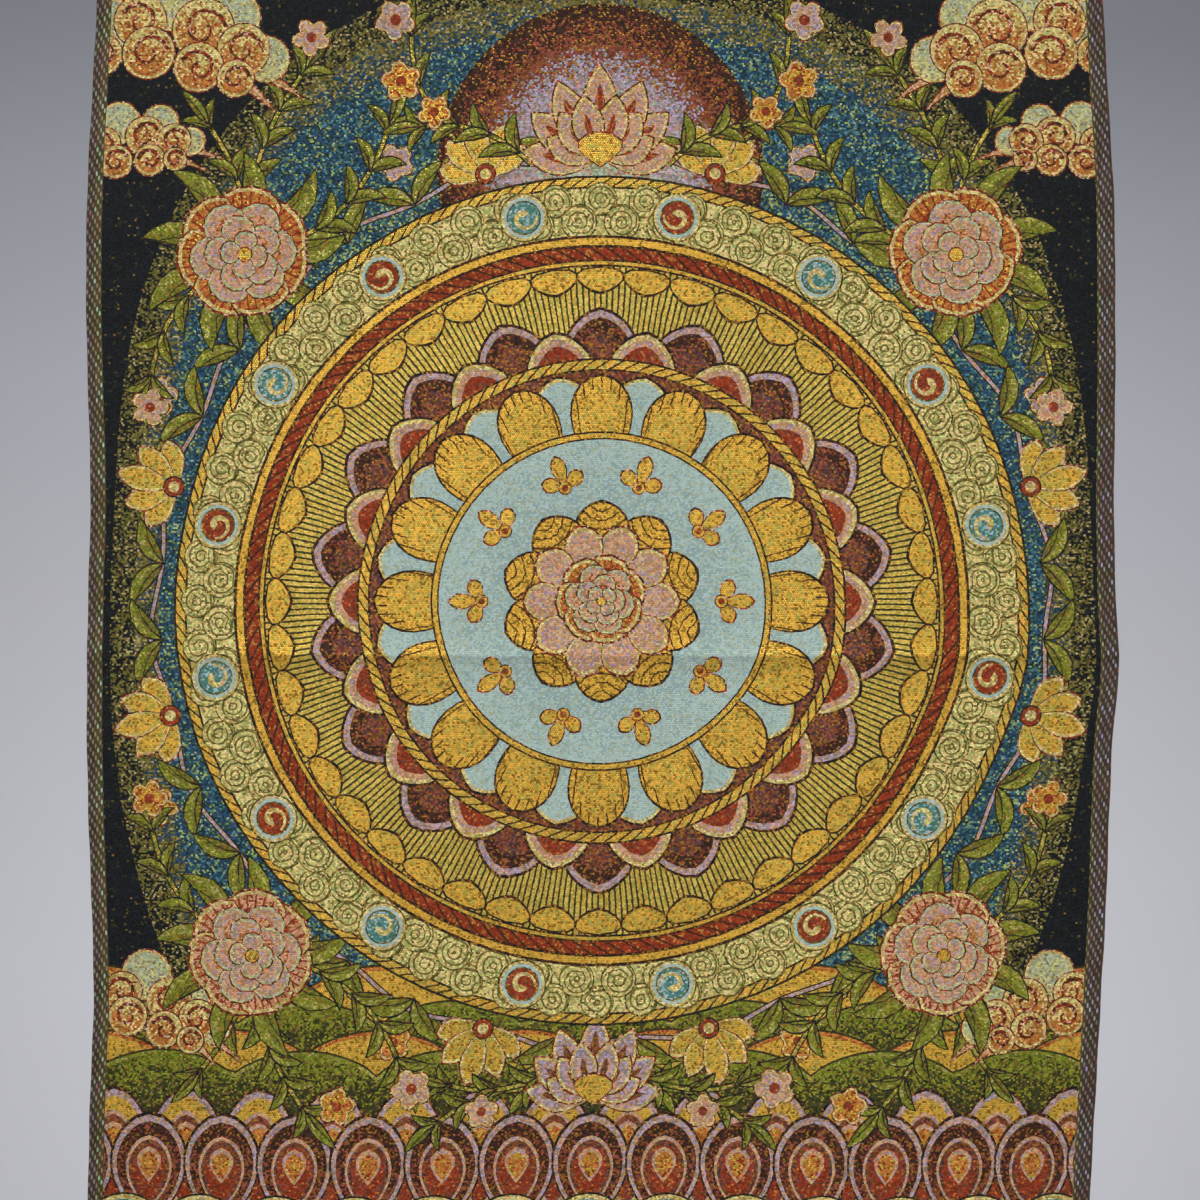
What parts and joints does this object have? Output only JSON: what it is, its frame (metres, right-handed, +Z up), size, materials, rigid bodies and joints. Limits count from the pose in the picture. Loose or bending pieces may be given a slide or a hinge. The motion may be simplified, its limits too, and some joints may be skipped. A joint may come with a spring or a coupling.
{
  "type": "woven thangka wall hanging",
  "caption": "Rectangular woven brocade wall hanging of thangka kind, one flat panel that hangs from its top edge, with soft rolls and a storage fold.",
  "frame": {"origin": "middle of the top edge, where the cloth is held", "axes": "+Z up along the hanging cloth, +X to the right seen from the front, +Y to the back, so the woven front faces -Y"},
  "size_m": [0.6069, 0.018, 0.9001],
  "materials": {
    "woven_brocade": "jacquard brocade with gold thread, soft silky sheen"
  },
  "bodies": {
    "root": {"woven_panel": "woven_brocade"}
  },
  "joints": []
}
